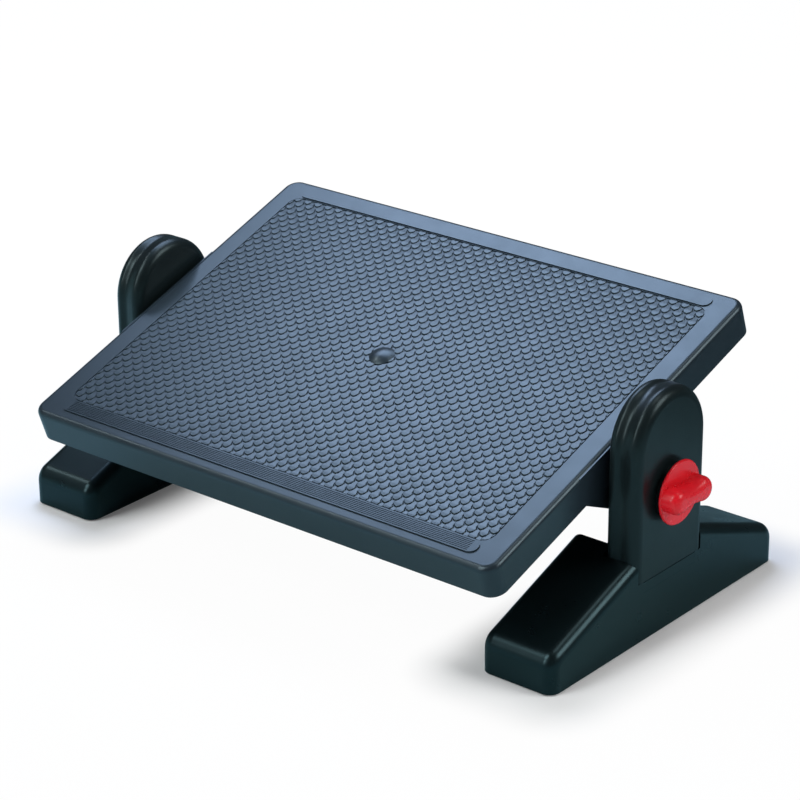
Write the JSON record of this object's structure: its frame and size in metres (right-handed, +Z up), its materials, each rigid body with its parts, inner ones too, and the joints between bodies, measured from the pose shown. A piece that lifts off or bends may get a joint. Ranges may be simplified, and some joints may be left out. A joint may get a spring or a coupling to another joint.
{
  "type": "tilting footrest",
  "caption": "Tilting under-desk footrest: a textured tray that pivots between arched uprights on wing-shaped feet and is clamped by wing knobs.",
  "frame": {"origin": "on the floor, at the middle of the object's outline", "axes": "+X to the right along the tilt axis, +Y to the back, +Z up"},
  "size_m": [0.5568, 0.3166, 0.2039],
  "materials": {
    "tray_plastic": "dark blue-grey moulded plastic with a satin sheen and a scale-patterned tread",
    "foot_plastic": "near-black moulded plastic, satin gloss",
    "upright_plastic": "near-black moulded plastic, satin gloss",
    "knob_plastic": "bright red moulded plastic, glossy",
    "steel": "bright zinc-plated steel",
    "rubber": "soft black rubber",
    "friction_rubber": "hard rubber"
  },
  "bodies": {
    "base": {"right_foot": "foot_plastic", "right_foot_pads": "rubber", "right_upright_outer_shell": "upright_plastic", "right_upright_inner_shell": "upright_plastic", "right_foot_screws": "steel", "right_knob_washer": "steel", "left_foot": "foot_plastic", "left_foot_pads": "rubber", "left_upright_outer_shell": "upright_plastic", "left_upright_inner_shell": "upright_plastic", "left_foot_screws": "steel", "left_knob_washer": "steel"},
    "tray": {"platform": "tray_plastic", "right_friction_washer": "friction_rubber", "right_clamp_nut": "steel", "left_friction_washer": "friction_rubber", "left_clamp_nut": "steel"},
    "right_knob_body": {"right_knob": "knob_plastic", "right_knob_stud": "steel", "right_stud_clip": "steel"},
    "left_knob_body": {"left_knob": "knob_plastic", "left_knob_stud": "steel", "left_stud_clip": "steel"}
  },
  "joints": [
    {"name": "tray_tilt", "type": "hinge", "parent": "base", "child": "tray", "pos_m": [0, 0.00968, 0.1095], "axis": [1, 0, 0], "range_deg": [-19, 11]},
    {"name": "right_knob_turn", "type": "hinge", "parent": "base", "child": "right_knob_body", "pos_m": [0.262, 0.00968, 0.1095], "axis": [1, 0, 0], "range_deg": [0, 450]},
    {"name": "left_knob_turn", "type": "hinge", "parent": "base", "child": "left_knob_body", "pos_m": [-0.262, 0.00968, 0.1095], "axis": [-1, 0, 0], "range_deg": [0, 450]}
  ]
}
